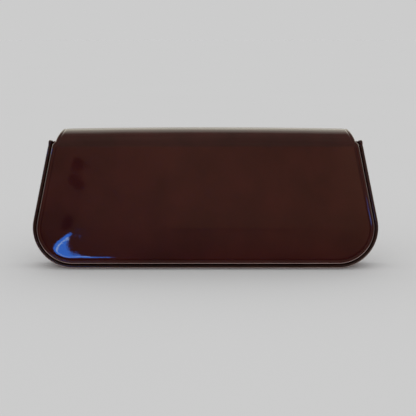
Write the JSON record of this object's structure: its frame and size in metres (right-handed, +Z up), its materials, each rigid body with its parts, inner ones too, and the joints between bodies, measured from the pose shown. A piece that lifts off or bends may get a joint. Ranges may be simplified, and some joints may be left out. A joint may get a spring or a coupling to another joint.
{
  "type": "long wallet",
  "caption": "Long patent leather wallet with a full front flap over a soft fold, piped rims, a gusset, card pockets, a zipped coin pocket and a magnetic snap.",
  "frame": {"origin": "under the middle of the closed wallet, on the surface that its bottom edge stands on", "axes": "+Z up from the bottom edge to the fold, -Y towards the front that the flap covers, +X to the right seen from the front"},
  "size_m": [0.24, 0.0269, 0.097],
  "materials": {
    "patent_leather": "dark burgundy patent leather, high gloss",
    "piping_leather": "dark burgundy patent leather over a cord",
    "lining_leather": "soft burgundy leather, satin",
    "lining_fabric": "woven burgundy lining",
    "stiffener_board": "plain fibre board",
    "zip_tape": "woven tape",
    "gold_metal": "polished light gold plating",
    "magnet": "dark grey ceramic magnet"
  },
  "bodies": {
    "body": {"back_board": "stiffener_board", "back_leather": "patent_leather", "back_lining": "lining_leather", "back_piping": "piping_leather", "card_divider": "lining_leather", "card_pocket_left_1": "lining_leather", "card_pocket_left_2": "lining_leather", "card_pocket_left_3": "lining_leather", "card_pocket_left_4": "lining_leather", "card_pocket_right_1": "lining_leather", "card_pocket_right_2": "lining_leather", "card_pocket_right_3": "lining_leather", "card_pocket_right_4": "lining_leather", "coin_pocket_back": "lining_leather", "coin_pocket_front": "lining_leather", "gusset": "patent_leather", "gusset_lining": "lining_fabric", "zip_stop_left": "gold_metal", "zip_stop_right": "gold_metal", "zip_tape_back": "zip_tape", "zip_tape_front": "zip_tape", "zip_teeth_back": "gold_metal", "zip_teeth_front": "gold_metal"},
    "fold_strip_1": {"fold_leather_1": "patent_leather", "fold_lining_1": "lining_leather"},
    "fold_strip_2": {"fold_leather_2": "patent_leather", "fold_lining_2": "lining_leather"},
    "fold_strip_3": {"fold_leather_3": "patent_leather", "fold_lining_3": "lining_leather"},
    "flap": {"flap_leather": "patent_leather", "flap_board": "stiffener_board", "flap_lining": "lining_leather", "snap_stud": "gold_metal", "snap_stud_washer": "gold_metal"},
    "front_wall": {"front_leather": "patent_leather", "front_board": "stiffener_board", "front_lining": "lining_leather", "front_slip_pocket": "lining_leather", "front_piping": "piping_leather", "snap_socket_case": "gold_metal", "snap_magnet": "magnet", "snap_socket_base": "gold_metal", "snap_socket_washer": "gold_metal"},
    "zip_slider": {"zip_slider": "gold_metal"},
    "zip_pull": {"zip_pull": "gold_metal"}
  },
  "joints": [
    {"name": "fold_bend_1", "type": "hinge", "parent": "body", "child": "fold_strip_1", "pos_m": [0, 0.01172, 0.08914], "axis": [-1, 0, 0], "range_deg": [0, 44.5]},
    {"name": "fold_bend_2", "type": "hinge", "parent": "fold_strip_1", "child": "fold_strip_2", "pos_m": [0, 0.00582, 0.09515], "axis": [-1, 0, 0], "range_deg": [0, 44.5]},
    {"name": "fold_bend_3", "type": "hinge", "parent": "fold_strip_2", "child": "fold_strip_3", "pos_m": [0, -0.00259, 0.09529], "axis": [-1, 0, 0], "range_deg": [0, 44.5]},
    {"name": "flap_fold", "type": "hinge", "parent": "fold_strip_3", "child": "flap", "pos_m": [0, -0.0087, 0.0895], "axis": [-1, 0, 0], "range_deg": [0, 44.5]},
    {"name": "mouth_open", "type": "hinge", "parent": "body", "child": "front_wall", "pos_m": [0, -0.0063, 0.00145], "axis": [1, 0, 0], "range_deg": [0, 10]},
    {"name": "zip_slide", "type": "slide", "parent": "body", "child": "zip_slider", "axis": [1, 0, 0], "range_m": [0, 0.148]},
    {"name": "zip_pull_turn", "type": "hinge", "parent": "zip_slider", "child": "zip_pull", "pos_m": [-0.074, 0.0026, 0.0789], "axis": [0, -1, 0], "range_deg": [0, 170]}
  ],
  "couplings": [
    {"joint": "fold_bend_1", "follows": "flap_fold", "ratio": 1},
    {"joint": "fold_bend_2", "follows": "flap_fold", "ratio": 1},
    {"joint": "fold_bend_3", "follows": "flap_fold", "ratio": 1},
    {"joint": "mouth_open", "follows": "flap_fold", "ratio": 0.2247}
  ]
}
